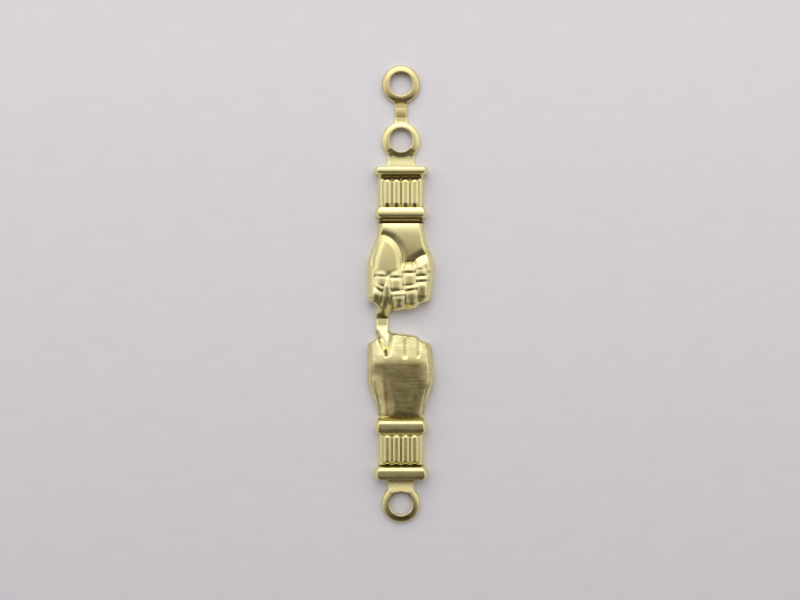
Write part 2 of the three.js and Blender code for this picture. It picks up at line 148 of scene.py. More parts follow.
# Stations along the strip, counted from the thumb fold
THUMB_STRIP_END = THUMB_STRIP_LENGTH / 2
FRONT_CUFF_START = PALM_LENGTH + FRONT_WRIST_GROOVE + FRONT_WRIST_BEAD
FRONT_END_START = FRONT_CUFF_START + FRONT_CUFF
FRONT_SHANK_START = FRONT_END_START + FRONT_END_GROOVE + FRONT_END_BEAD
RING_CENTRE = FRONT_SHANK_START + FRONT_SHANK + RING_OUTER
BACK_CUFF_START = BACK_HAND_LENGTH + BACK_WRIST_GROOVE + BACK_WRIST_BEAD
BACK_END_START = BACK_CUFF_START + BACK_CUFF
BACK_SHANK_START = BACK_END_START + BACK_END_GROOVE + BACK_END_BEAD
NECK_STRIP_START = RING_CENTRE + RING_OUTER + NECK_LAND
NECK_STRIP_END = NECK_STRIP_START + NECK_STRIP_LENGTH
LOCK_CENTRE = NECK_STRIP_END + NECK_LAND + RING_OUTER
STRIP_MIDDLE = (LOCK_CENTRE - RING_CENTRE) / 2

# The hand's outline: distance from the fold, then across
LEFT_OUTLINE = [(0, THUMB_LEFT), (0.9, -2.5), (1.45, -2.45), (1.75, -2.62), (1.95, -3.0),
                (2.2, -3.28), (2.7, -3.35), (5.6, -3.35), (6.3, -3.25), (7.3, -2.9), (8.5, -2.45),
                (9.4, -2.28), (10.4, -2.2)]
RIGHT_OUTLINE = [(0, THUMB_RIGHT), (0.8, -1.24), (0.95, -1.1), (1.08, -0.7), (1.14, -0.1),
                 (1.2, 0.5), (1.3, 1.2), (1.45, 1.65), (1.8, 1.95), (1.98, 2.5), (2.15, 2.86),
                 (2.5, 3.04), (3.5, 3.16), (4.8, 3.32), (5.5, 3.35), (6.3, 3.24), (7.1, 2.92),
                 (8.0, 2.58), (9.0, 2.32), (9.6, 2.25), (10.4, 2.2)]
HAND_HALF_WIDTH = 3.35
OUTLINE_STEPS = 6

# The hand swells up from the thumb strip over a ramp, more gently on the thumb's side of it
THUMB_RAMP = 0.9
THUMB_RAMP_POWER = 1.2
THUMB_SIDE = (-0.85, -1.15)

# How the hand rolls towards its edges, and how wide its walls are: along the sides, where they narrow
# to the wrist, and round the fingertips
PALM_ROLL = 0.06
BACK_ROLL = 0.2
ROLL_REACH = 1.7
SIDE_STARTS = 2.15
TIPS_OVERLAP = 0.2
SIDE_WALL = 0.74
WRIST_WALL = 0.52
WALL_NARROWS = (6.5, 9.0)
TIP_WALL = 0.24

# Share of a mesh's rows drawn towards the fingertips, and of its columns towards both edges
HAND_CROWDING = 0.55
EDGE_CROWDING = 0.6

# What the painted shade marks add at full strength to a hollow's depth, and the painted shade that the
# side walls add at their foot
SHADE_MARK_DEPTH = 0.2
WALL_SHADE = 0.055


def clamp01(value):
    return np.clip(value, 0.0, 1.0)


def mix(a, b, share):
    return a + (b - a) * share


def smooth_step(start, end, value):
    share = clamp01((value - start) / (end - start))
    return share * share * (3 - 2 * share)


def soft_max(a, b, blend):
    share = clamp01(0.5 + (a - b) / (2 * blend))
    return mix(b, a, share) + blend * share * (1 - share)


def fade(distance, reach, power=2):
    """Falls from 1 at no distance to 0 at the reach."""
    return (1 - clamp01(distance / reach)) ** power


def bunched(share):
    """Even shares from 0 to 1, drawn towards both ends."""
    return 0.5 - 0.5 * np.cos(math.pi * share)


def edge_drop(inset, ease):
    """How far an eased edge falls away, this far in from it."""
    depth, width = ease
    return depth * fade(inset, width)


def wall_rise(inset, wall):
    """Share of the full height reached this far in from the cut edge: a quarter ellipse."""
    return np.sqrt(1 - fade(inset, wall))


def along_segment(x, y, start, end):
    """Share of the way along a segment, and the distance to it."""
    dx, dy = end[0] - start[0], end[1] - start[1]
    share = clamp01(((x - start[0]) * dx + (y - start[1]) * dy) / (dx * dx + dy * dy))
    return share, np.hypot(x - start[0] - dx * share, y - start[1] - dy * share)


def path_distance(x, y, path):
    nearest = np.full(np.shape(x), np.inf)
    for start, end in zip(path[:-1], path[1:]):
        nearest = np.minimum(nearest, along_segment(x, y, start, end)[1])
    return nearest


def smooth_path(points, steps):
    """A Catmull-Rom curve through the points."""
    knots = np.array(points, float)
    knots = np.vstack([2 * knots[0] - knots[1], knots, 2 * knots[-1] - knots[-2]])
    curve = []
    for i in range(1, len(knots) - 2):
        p0, p1, p2, p3 = knots[i - 1:i + 3]
        for k in range(steps):
            t = k / steps
            curve.append(0.5 * (2 * p1 + (p2 - p0) * t + (2 * p0 - 5 * p1 + 4 * p2 - p3) * t ** 2
                                + (3 * p1 - p0 - 3 * p2 + p3) * t ** 3))
    curve.append(knots[-2])
    return np.array(curve)


def depth_inside(x, y, loop):
    """Distance in from a closed loop's edge, negative outside it."""
    within = np.zeros(np.shape(x), bool)
    for (x0, y0), (x1, y1) in zip(loop, np.roll(loop, -1, axis=0)):
        if y0 != y1:
            within ^= ((y0 > y) != (y1 > y)) & (x < (x1 - x0) * (y - y0) / (y1 - y0) + x0)
    distance = path_distance(x, y, np.vstack([loop, loop[:1]]))
    return np.where(within, distance, -distance)


# Powers of the raised forms: how square a swelling is across and along, and how full the crowns are
SWELLING_ACROSS = 2.4
SWELLING_ALONG = 5
SWELLING_CROWN = 0.65
RIDGE_CROWN = 0.75


def swelling(x, y, at, reach, turn):
    """A flat-topped swelling: 1 over its middle, 0 outside, squarer along than across."""
    u = (x - at[0]) * math.cos(turn) + (y - at[1]) * math.sin(turn)
    v = (y - at[1]) * math.cos(turn) - (x - at[0]) * math.sin(turn)
    inside = 1 - np.abs(u / reach[0]) ** SWELLING_ACROSS - np.abs(v / reach[1]) ** SWELLING_ALONG
    return clamp01(inside) ** SWELLING_CROWN


def ridge(x, y, chain, floor):
    """A rounded ridge along (point, radius, height) stations, over a floor."""
    height = floor + np.zeros_like(x)
    for (start, r0, h0), (end, r1, h1) in zip(chain[:-1], chain[1:]):
        share, distance = along_segment(x, y, start, end)
        radius = mix(r0, r1, share)
        crest = mix(h0, h1, share)
        profile = clamp01(1 - (distance / radius) ** 2) ** RIDGE_CROWN
        height = np.where(profile > 0, np.maximum(height, mix(floor, crest, profile)), height)
    return height


# The palm side: (centre, reach each way, height, fall along, turn), index finger first
FRONT_PHALANGES = [
    ((-1.96, 4.96), (0.64, 0.46), 1.38, 0.2, -0.1), ((-1.98, 4.05), (0.62, 0.55), 1.44, 0.02, -0.1),
    ((-2.2, 3.5), (0.6, 0.23), 1.47, 0.1, -0.62),
    ((-0.52, 4.84), (0.6, 0.46), 1.38, 0.2, 0.0), ((-0.5, 3.74), (0.62, 0.71), 1.46, 0.02, 0.0),
    ((-0.22, 2.8), (0.74, 0.23), 1.49, 0.1, 0.08),
    ((0.82, 5.36), (0.62, 0.5), 1.38, 0.2, 0.0), ((0.86, 4.2), (0.66, 0.7), 1.46, 0.02, 0.0),
    ((0.96, 3.4), (0.74, 0.24), 1.49, 0.1, 0.16),
    ((1.94, 5.62), (0.6, 0.46), 1.37, 0.2, 0.0), ((2.04, 4.93), (0.6, 0.36), 1.43, 0.04, 0.0),
    ((2.13, 4.28), (0.64, 0.25), 1.45, 0.1, 0.08),
]

# Knuckles and thumb, each a ridge of (point, radius, height) stations that runs down to the tip
FRONT_KNUCKLES = [
    [((-2.58, 2.75), 0.78, 1.5), ((-2.72, 2.3), 0.8, 1.42), ((-2.85, 1.9), 0.7, 1.1)],
    [((-0.2, 2.3), 0.78, 1.5), ((-0.2, 1.8), 0.78, 1.42), ((-0.18, 1.15), 0.7, 0.9)],
    [((1.04, 2.75), 0.74, 1.5), ((1.06, 2.05), 0.74, 1.43), ((1.08, 1.35), 0.66, 0.95)],
    [((2.14, 3.5), 0.68, 1.48), ((2.18, 2.8), 0.7, 1.42), ((2.26, 2.15), 0.64, 1.05)],
]
FRONT_THUMB = [((-1.2, 4.5), 0.2, 1.36), ((-1.38, 3.5), 0.46, 1.5), ((-1.38, 2.6), 0.56, 1.42),
               ((-1.66, 1.7), 0.64, 1.2), ((-1.82, 0.9), 0.68, 0.78), ((-1.88, 0.2), 0.7, 0.3)]

# Outlines of the two mounds, and of the row of curled fingers
LOOP_STEPS = 4
THUMB_MOUND = smooth_path([
    (-2.75, 4.6), (-2.75, 6.1), (-2.5, 7.1), (-2.15, 8.1), (-1.93, 8.6), (-1.75, 8.66), (-1.2, 8.45),
    (-0.7, 8.05), (-0.3, 7.5), (-0.05, 6.9), (0.05, 6.2), (0.0, 5.4), (-0.2, 4.9), (-0.75, 4.6),
    (-1.3, 4.5), (-2.0, 4.5), (-2.75, 4.6),
], LOOP_STEPS)[:-1]
LITTLE_MOUND = smooth_path([
    (3.1, 6.8), (2.65, 6.7), (2.26, 6.61), (1.95, 6.5), (1.65, 6.3), (1.4, 6.1), (1.2, 5.75),
    (1.25, 5.3), (1.6, 5.0), (2.4, 4.9), (3.1, 5.1), (3.35, 6.0), (3.1, 6.8),
], LOOP_STEPS)[:-1]
FINGER_ROW = np.array([
    (-3.0, 5.2), (-0.1, 5.3), (0.5, 5.85), (1.3, 6.0), (3.2, 5.6), (3.2, 1.0), (-3.0, 1.0),
])

# The palm's level, with how it sags towards the fingers and at the wrist, and its valleys
PALM_LEVEL = 1.22
PALM_SUMMIT = (8.4, 8.6)
PALM_SAG = 0.019
WRIST_SAG = 0.1
MOUND_VALLEY = 0.2
FINGER_VALLEY = 0.08
VALLEY_REACH = 0.8
FINGER_ROOTS = (5.1, 5.9)
TIP_FLOOR = 0.3
TIP_RAMP = (1.0, 2.7)

# The two mounds: a steep step at the edge takes a share of the rise, and a gentle flank the rest
MOUND_STEP = 0.4
MOUND_STEP_WIDTH = 0.13
MOUND_FLANK_POWER = 1.3
MOUND_LEAST = 0.04
THUMB_MOUND_FLANK = 0.6
LITTLE_MOUND_FLANK = 0.8

# The thumb's mound arches along the palm, and the little finger's falls towards the wrist
THUMB_MOUND_TOP = 1.35
THUMB_MOUND_SUMMIT = 5.1
THUMB_MOUND_ARCH = 0.019
LITTLE_MOUND_TOP = 1.36
LITTLE_MOUND_START = 5.3
LITTLE_MOUND_FALL = 0.12


def palm_height(x, y):
    between_fingers = mix(TIP_FLOOR, PALM_LEVEL, smooth_step(*TIP_RAMP, y))
    thumb_depth = depth_inside(x, y, THUMB_MOUND)
    little_depth = depth_inside(x, y, LITTLE_MOUND)
    by_mounds = MOUND_VALLEY * fade(-np.maximum(thumb_depth, little_depth), VALLEY_REACH)
    by_fingers = FINGER_VALLEY * fade(-depth_inside(x, y, FINGER_ROW), VALLEY_REACH)
    hollow = PALM_LEVEL - np.maximum(by_mounds, by_fingers)
    hollow = hollow - PALM_SAG * np.maximum(PALM_SUMMIT[0] - y, 0) ** 2
    hollow = hollow - WRIST_SAG * np.maximum(y - PALM_SUMMIT[1], 0) ** 2
    floor = mix(between_fingers, hollow, smooth_step(*FINGER_ROOTS, y))
    height = floor
    thumb_top = THUMB_MOUND_TOP - THUMB_MOUND_ARCH * (y - THUMB_MOUND_SUMMIT) ** 2
    little_top = LITTLE_MOUND_TOP - LITTLE_MOUND_FALL * (y - LITTLE_MOUND_START)
    for depth, top, flank in (
        (thumb_depth, thumb_top, THUMB_MOUND_FLANK),
        (little_depth, little_top, LITTLE_MOUND_FLANK),
    ):
        step = 1 - fade(depth, MOUND_STEP_WIDTH)
        rise = MOUND_STEP * step + (1 - MOUND_STEP) * (1 - fade(depth, flank, MOUND_FLANK_POWER))
        height = np.maximum(height, mix(floor, np.maximum(top, floor + MOUND_LEAST), rise))
    for at, reach, top, fall, turn in FRONT_PHALANGES:
        tilted = top - fall * (y - at[1])
        height = np.maximum(height, mix(floor, tilted, swelling(x, y, at, reach, turn)))
    for chain in [*FRONT_KNUCKLES, FRONT_THUMB]:
        height = np.maximum(height, ridge(x, y, chain, floor))
    return height


# The back of the hand: grooves between the fingers and a pit above the thumb, each (start, end, half
# width, depth), then the fork round the thumb, the thumb itself as a ridge, and the tendon
BACK_GROOVES = [((0.36, 0.6), (0.36, 3.35), 0.24, 0.2), ((1.7, 0.9), (1.66, 3.3), 0.2, 0.18),
                ((-0.8, 1.4), (-1.14, 3.2), 0.1, 0.07)]
BACK_PIT = ((-1.45, 2.8), (-1.45, 3.25), 0.2, 0.16)
BACK_FORK = np.array([(-2.75, 0.6), (-2.62, 1.35), (-1.52, 3.5), (-1.4, 3.5), (-0.84, 1.5), (-0.84, 0.6)])
BACK_THUMB = [((-1.42, 2.6), 0.14, 0.86), ((-1.38, 2.2), 0.34, 0.86), ((-1.46, 1.6), 0.46, 0.64),
              ((-1.66, 1.1), 0.52, 0.46), ((-1.88, 0.4), 0.58, 0.3)]
BACK_TENDON = ((-1.9, 4.6), (-1.55, 9.2))

# The back's level and dome, and how it falls: past the knuckles in a bend and then evenly, slowly
# towards the wrist, and faster beside it
BACK_LEVEL = 1.337
BACK_DOME = 0.18
DOME_MIDDLE = 0.3
DOME_REACH = 2.6
KNUCKLE_LINE = 4.1
KNUCKLE_BEND = 0.8
KNUCKLE_CURVE = 0.14
KNUCKLE_DROP = 0.09
FINGER_SLOPE = 0.22
BACK_SLOPE = 0.045
BACK_WRIST_LINE = 8.9
BACK_WRIST_SAG = 0.2

# The thumb's side leans outwards from a fold that runs from the knuckles towards the wrist
FOLD_AT_KNUCKLES = -1.5
FOLD_AT_WRIST = -0.6
FOLD_START = 4.3
FOLD_LENGTH = 3.4
FOLD_LEAN = 0.2
FOLD_BLEND = 0.16
LEAN_RAMP = (3.8, 5.5)

# The tendon's ridge, the floor of the fork, and the section of the grooves
TENDON_HEIGHT = 0.035
TENDON_HALF_WIDTH = 0.34
TENDON_RAMP = (4.4, 7.2)
FORK_DEPTH = 0.5
FORK_EDGE = 0.4
GROOVE_POWER = 0.8


def back_height(x, y):
    past = np.maximum(KNUCKLE_LINE - y, 0)
    beyond_bend = KNUCKLE_DROP + FINGER_SLOPE * (past - KNUCKLE_BEND)
    fall = np.where(past < KNUCKLE_BEND, KNUCKLE_CURVE * past ** 2, beyond_bend)
    dome = BACK_DOME * (1 - ((x - DOME_MIDDLE) / DOME_REACH) ** 2)
    top = BACK_LEVEL + dome - fall - BACK_SLOPE * np.maximum(y - KNUCKLE_LINE, 0)
    top = top - BACK_WRIST_SAG * np.maximum(y - BACK_WRIST_LINE, 0) ** 2
    fold = mix(FOLD_AT_KNUCKLES, FOLD_AT_WRIST, clamp01((y - FOLD_START) / FOLD_LENGTH))
    lean = FOLD_LEAN * soft_max(fold - x, np.zeros_like(x), FOLD_BLEND)
    top = top - lean * smooth_step(*LEAN_RAMP, y)
    from_tendon = along_segment(x, y, *BACK_TENDON)[1]
    tendon = clamp01(1 - (from_tendon / TENDON_HALF_WIDTH) ** 2) ** 2
    height = top + TENDON_HEIGHT * tendon * smooth_step(*TENDON_RAMP, y)
    for start, end, half, depth in [*BACK_GROOVES, BACK_PIT]:
        height = height - depth * fade(along_segment(x, y, start, end)[1], half, GROOVE_POWER)
    fork = smooth_step(0.0, FORK_EDGE, depth_inside(x, y, BACK_FORK))
    floor = height - FORK_DEPTH * fork
    return np.where(fork > 0, ridge(x, y, BACK_THUMB, floor), height)


# How soft the painted marks are: the solid share of a spot's radius, and the edges of a band
SPOT_CORE = 0.3
BAND_SOFT_ALONG = 0.05
BAND_SOFT_ACROSS = 0.12


def spots(x, y, marks):
    """The strongest of several soft marks, each (start, end, radius, strength)."""
    deepest = np.zeros_like(x)
    for start, end, radius, strength in marks:
        distance = along_segment(x, y, start, end)[1]
        deepest = np.maximum(deepest, strength * smooth_step(radius, SPOT_CORE * radius, distance))
    return deepest


def across_band(x, y, low, high, half_width):
    """A band across the strip with soft edges."""
    begins = smooth_step(low - BAND_SOFT_ALONG, low + BAND_SOFT_ALONG, y)
    ends = smooth_step(high + BAND_SOFT_ALONG, high - BAND_SOFT_ALONG, y)
    beside = smooth_step(half_width + BAND_SOFT_ACROSS, half_width - BAND_SOFT_ACROSS, np.abs(x))
    return begins * ends * beside


# Warm tan tints as (start, end, radius, strength): beside the tendon, and painted shade along the outer
# slopes of both beads
BACK_TAN_AND_SHADE_TINTS = [((-1.7, 5.5), (-1.12, 9.3), 0.6, 0.6), ((2.0, 7.2), (1.5, 9.3), 0.5, 0.2),
              ((-2.0, 10.6), (2.0, 10.6), 0.5, 0.35), ((-2.0, 15.3), (2.0, 15.3), 0.5, 0.2)]
# On the palm: painted shade in tan along the valleys beside the thumb's mound and the little finger's
# mound
PALM_SHADE_TINTS = [((-1.9, 8.4), (0.2, 6.4), 0.6, 0.25), ((0.4, 6.2), (2.6, 6.9), 0.4, 0.2)]

# Painted shade in low places and along the shoulders of the back, as (start, end, radius, strength)
BACK_SHADE_SPOTS = [((-1.45, 2.8), (-1.45, 3.2), 0.22, 0.8), ((-2.3, 0.95), (-2.1, 1.5), 0.3, 0.8),
              ((-0.84, 1.28), (-0.5, 1.2), 0.16, 0.7), ((0.66, 1.42), (0.8, 1.46), 0.14, 0.6),
              ((0.36, 1.6), (0.36, 3.2), 0.2, 0.4), ((1.68, 1.9), (1.66, 3.2), 0.18, 0.35),
              ((-0.84, 1.6), (-1.14, 3.2), 0.12, 0.4), ((-2.4, 2.0), (-1.6, 3.3), 0.14, 0.35),
              ((-2.62, 5.8), (-2.08, 9.25), 0.18, 0.5), ((2.62, 6.2), (2.1, 9.2), 0.15, 0.45)]
PALM_SHADE_SPOTS = [((-2.1, 0.7), (-1.6, 0.45), 0.32, 0.75), ((0.45, 5.9), (1.3, 6.1), 0.24, 0.6),
              ((-2.95, 2.4), (-2.7, 1.95), 0.3, 0.4)]

# Painted shade along the grooves that cross the strip as (from, to, half width, strength)
FRONT_SHADE_BANDS = [(PALM_LENGTH - 0.04, PALM_LENGTH + FRONT_WRIST_GROOVE + 0.02, 2.2, 0.85),
               (FRONT_END_START - 0.06, FRONT_END_START + FRONT_END_GROOVE, 1.95, 0.8)]
BACK_SHADE_BANDS = [(BACK_HAND_LENGTH + 0.02, BACK_HAND_LENGTH + 0.26, 2.1, 0.2),
              (BACK_END_START - 0.04, BACK_END_START + BACK_END_GROOVE, 2.0, 0.6)]


def rib_marks(begin, end, radius, strength, count=RIB_COUNT):
    """The same mark along every rib, or along every valley where the count is one more."""
    places = [(rib - (count - 1) / 2) * RIB_PITCH for rib in range(count)]
    return [((x, begin), (x, end), radius, strength) for x in places]


def rib_crests(start, length):
    """A tan stripe of painted shade along the crest of each rib."""
    return rib_marks(start + 0.5, start + length - 0.5, radius=0.24, strength=0.15)


def rib_valleys(start, length):
    """Painted shade in the narrow valleys between ribs and beside the outer ones."""
    return rib_marks(start + 0.3, start + length - 0.3, radius=0.14, strength=0.25, count=RIB_COUNT + 1)


def rib_ends(start):
    """Small painted shadows where the ribs run out."""
    return rib_marks(start + 0.08, start + 0.08 + 0.14, radius=0.32, strength=0.8)


def shade_marks_over(x, y, marks, bands):
    deepest = spots(x, y, marks)
    for low, high, half_width, strength in bands:
        deepest = np.maximum(deepest, strength * across_band(x, y, low, high, half_width))
    return deepest


# The marks on each half: its tan tints, partly painted shade, its spots of painted shade, and its bands
# of painted shade
FRONT_MARKS = (
    PALM_SHADE_TINTS + rib_crests(FRONT_CUFF_START, FRONT_CUFF),
    PALM_SHADE_SPOTS + rib_ends(FRONT_CUFF_START) + rib_valleys(FRONT_CUFF_START, FRONT_CUFF),
    FRONT_SHADE_BANDS,
)
BACK_MARKS = (
    BACK_TAN_AND_SHADE_TINTS + rib_crests(BACK_CUFF_START, BACK_CUFF),
    BACK_SHADE_SPOTS + rib_valleys(BACK_CUFF_START, BACK_CUFF),
    BACK_SHADE_BANDS,
)


def edge_lookup(outline):
    """The outline as a smooth curve, looked up by the distance from the fold."""
    curve = smooth_path([(across, along) for along, across in outline], OUTLINE_STEPS)
    curve[:, 0] = np.clip(curve[:, 0], -HAND_HALF_WIDTH, HAND_HALF_WIDTH)
    order = np.maximum.accumulate(curve[:, 1])
    return curve, lambda y: np.interp(y, order, curve[:, 0])


LEFT_CURVE, left_edge = edge_lookup(LEFT_OUTLINE)
RIGHT_CURVE, right_edge = edge_lookup(RIGHT_OUTLINE)


# A relief gives the height of the face over the sheet, and the share of it that the side wall reaches
def hand_relief(height, roll):
    sides = [curve[curve[:, 1] >= SIDE_STARTS] for curve in (LEFT_CURVE, RIGHT_CURVE)]
    tips = [curve[curve[:, 1] <= SIDE_STARTS + TIPS_OVERLAP] for curve in (LEFT_CURVE, RIGHT_CURVE)]

    def relief(x, y):
        within = (x >= left_edge(y)) & (x <= right_edge(y))
        side = np.minimum(*(path_distance(x, y, path) for path in sides))
        tip = np.minimum(*(path_distance(x, y, path) for path in tips))
        wall = mix(SIDE_WALL, WRIST_WALL, smooth_step(*WALL_NARROWS, y))
        rise = np.where(within, np.minimum(wall_rise(side, wall), wall_rise(tip, TIP_WALL)), 0.0)
        rolled = 1 - roll * fade(side, ROLL_REACH)
        start = smooth_step(THUMB_STRIP_END, THUMB_STRIP_END + THUMB_RAMP, y)
        gentle = clamp01((y - THUMB_STRIP_END) / THUMB_RAMP) ** THUMB_RAMP_POWER
        start = mix(start, np.minimum(start, gentle), smooth_step(*THUMB_SIDE, x))
        return height(x, y) * rolled * start, rise
    return relief


def bead_edge(start, groove, length, half_width, corner, outer_corner):
    """A bead's edge, by the distance from the fold: straight at its crown, rounding in at its corners."""
    crown = start + groove + length / 2

    def edge(y):
        swing = np.sqrt(clamp01(1 - ((y - crown) / (length / 2)) ** 2))
        return half_width - np.where(y > crown, outer_corner, corner) * (1 - swing)
    return edge


def bead_relief(bead, falls, outer_foot=None):
    """A rounded bead beyond a groove whose floor falls: 1 towards the bead, -1 away from it."""
    start, groove, length = bead[:3]
    crown = start + groove + length / 2
    edge = bead_edge(*bead)
    groove_ends = (GROOVE_TOP, GROOVE_LOW) if falls > 0 else (GROOVE_LOW, GROOVE_TOP)
    outer_fullness = BACK_BEAD_OUTER_FULLNESS if falls > 0 else BEAD_FULLNESS

    def relief(x, y):
        from_peak = (y - crown) / (length / 2) - BEAD_PEAK
        past_peak = np.where(from_peak > 0, from_peak / (1 - BEAD_PEAK), from_peak / (1 + BEAD_PEAK))
        fullness = np.where(past_peak > 0, outer_fullness, BEAD_FULLNESS)
        height = mix(BEAD_FOOT, BEAD_RELIEF, clamp01(1 - np.abs(past_peak) ** fullness))
        in_groove = mix(*groove_ends, clamp01((y - start) / groove))
        height = np.where(y < start + groove, in_groove, height)
        if outer_foot is not None:
            to_end = start + groove + length - y
            height = mix(outer_foot, height, smooth_step(0.0, BEAD_FOOT_RAMP, to_end))
        return height, wall_rise(np.maximum(edge(y) - np.abs(x), 0), BEAD_WALL)
    return relief


def cuff_relief(start, length):
    """A level cuff with a row of round ribs that end in half rounds."""
    middle = start + length / 2

    def relief(x, y):
        place = x / RIB_PITCH + (RIB_COUNT - 1) / 2
        off_rib = 2 * (place - np.clip(np.round(place), 0, RIB_COUNT - 1))
        past_end = np.maximum(np.abs(y - middle) - (length / 2 - RIB_END), 0) / RIB_END
        crest = clamp01(1 - off_rib ** 2 - past_end ** 2) ** 0.5
        inset = np.maximum(CUFF_HALF_WIDTH - np.abs(x), 0)
        return CUFF_RELIEF + RIB_DEPTH * crest, wall_rise(inset, CUFF_WALL)
    return relief


class StruckSheet:
    """The face and the inner skin of one half of the strip, worked out on a fine raster.

    The face is the relief with its edges eased, before the side walls take it down to the rim. The
    inner skin lies one sheet's thickness behind the outside, and ends flat on the plane of the rim.
    """

    STEP = 0.035
    HALF_WIDTH = 3.6
    MARGIN = 0.6
    HAND_TURNS_CRISP = 0.5
    THUMB_TIP_ALONG = (2.5, 1.8)
    THUMB_TIP_ACROSS = (-0.8, -1.1)

    def __init__(self, regions, hand_length):
        length = regions[-1][2]
        self.xs = np.arange(-self.HALF_WIDTH, self.HALF_WIDTH, self.STEP)
        self.ys = np.arange(0, length + self.MARGIN, self.STEP)
        x, y = np.meshgrid(self.xs, self.ys)
        face, rise = np.zeros(x.shape), np.zeros(x.shape)
        for region in regions:
            start, end, relief = region[1:4]
            rows = (self.ys >= start) & (self.ys <= end)
            face[rows], rise[rows] = relief(x[rows], y[rows])
        # the beads and cuffs stay crisp, the hand is softer, and the thumb's tip is calmest
        struck = (y >= THUMB_STRIP_END) & (y <= length)
        crisp = self.eased(face, struck, (1, 1))
        soft = self.eased(crisp, struck, (2, 2))
        calm = self.eased(soft, struck, (3, 4))
        by_thumb = smooth_step(*self.THUMB_TIP_ALONG, y) * smooth_step(*self.THUMB_TIP_ACROSS, x)
        past_hand = smooth_step(hand_length - self.HAND_TURNS_CRISP, hand_length, y)
        self.face = mix(mix(soft, calm, by_thumb), crisp, past_hand)
        # how far each place lies below its eased neighbours, darkened as painted shade in crevices
        self.hollow = self.eased(self.face, struck, (1, 2, 3)) - self.face
        solid = np.where(rise > 0, SHEET + self.face * rise, -1.0)
        self.inner = np.maximum(self.offset_inwards(solid), 0)

    def eased(self, height, inside, strides):
        """Averages each place with its neighbours, once for each stride."""
        for stride in strides:
            total = np.zeros_like(height)
            weight = np.zeros_like(height)
            for dy, wy in ((-1, 1), (0, 2), (1, 1)):
                for dx, wx in ((-1, 1), (0, 2), (1, 1)):
                    shift = (dy * stride, dx * stride)
                    share = wy * wx * np.roll(inside, shift, (0, 1))
                    total += share * np.roll(height, shift, (0, 1))
                    weight += share
            height = np.where(inside, total / np.maximum(weight, 1), 0.0)
        return height

    def offset_inwards(self, solid):
        """The lowest skin that stays one sheet's thickness inside the solid everywhere."""
        reach = int(SHEET / self.STEP)
        lowest = solid - SHEET
        for dy in range(-reach, reach + 1):
            for dx in range(-reach, reach + 1):
                away = math.hypot(dx, dy) * self.STEP
                if 0 < away <= SHEET and (dx + dy) % 2 == 0:
                    drop = math.sqrt(SHEET ** 2 - away ** 2)
                    lowest = np.minimum(lowest, np.roll(solid, (dy, dx), (0, 1)) - drop)
        return lowest

    def sample(self, skin, x, y):
        """Reads a skin between the points of the raster."""
        fx = np.clip((x - self.xs[0]) / self.STEP, 0, len(self.xs) - 1.001)
        fy = np.clip((y - self.ys[0]) / self.STEP, 0, len(self.ys) - 1.001)
        ix, iy = fx.astype(int), fy.astype(int)
        sx, sy = fx - ix, fy - iy
        low = mix(skin[iy, ix], skin[iy, ix + 1], sx)
        high = mix(skin[iy + 1, ix], skin[iy + 1, ix + 1], sx)
        return mix(low, high, sy)


def edit_new(name):
    """Names the mesh that was just added and opens it for editing."""
    piece = bpy.context.object
    piece.name = name
    piece.data.name = name
    bpy.ops.object.mode_set(mode="EDIT")
    bpy.ops.mesh.select_all(action="SELECT")
    return piece


def add_second_skin():
    bpy.ops.mesh.select_all(action="SELECT")
    bpy.ops.mesh.extrude_region_move(TRANSFORM_OT_translate={"value": (0, 0, 1)})
    bpy.ops.object.mode_set(mode="OBJECT")


def add_grid(name, columns, rows):
    """A grid primitive, 1 wide and 1 long, extruded into a closed blank of two skins."""
    bpy.ops.object.select_all(action="DESELECT")
    bpy.ops.mesh.primitive_grid_add(x_subdivisions=columns, y_subdivisions=rows, size=1,
                                    location=(0, 0, 0))
    piece = edit_new(name)
    add_second_skin()
    return piece


def read_points(piece):
    points = np.empty(len(piece.data.vertices) * 3)
    piece.data.vertices.foreach_get("co", points)
    return points.reshape(-1, 3)


def grid_places(piece):
    """How far across and along its blank each point lies, from 0 to 1, and whether it is on top."""
    points = read_points(piece)
    return points[:, 0] + 0.5, points[:, 1] + 0.5, points[:, 2] > 0.5


def place_points(piece, x, y, z):
    """Moves a piece's points into place, turns its faces outwards and smooths all but its sharp edges."""
    points = np.column_stack([x, y - STRIP_MIDDLE, z]) * MM
    piece.data.vertices.foreach_set("co", points.ravel())
    piece.data.update()
    bpy.ops.object.select_all(action="DESELECT")
    bpy.context.view_layer.objects.active = piece
    piece.select_set(True)
    bpy.ops.object.mode_set(mode="EDIT")
    bpy.ops.mesh.select_all(action="SELECT")
    bpy.ops.mesh.normals_make_consistent(inside=False)
    bpy.ops.object.mode_set(mode="OBJECT")
    bpy.ops.object.shade_smooth_by_angle(angle=math.radians(40))


def mark(piece, name, values):
    """Keeps one number at each point of the mesh for the material to read."""
    layer = piece.data.attributes.new(name, "FLOAT", "POINT")
    layer.data.foreach_set("value", np.ascontiguousarray(values, dtype=np.float32))


def finish_piece(piece, node, body, finish):
    """Gives a piece the material of its finish and its body, and hides the part it stands in for; a bend
    strip gets no body.
    """
    material, slot = finish
    piece.data.materials.clear()
    piece.data.materials.append(material)
    if body:
        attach(piece, body)
    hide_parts(node)


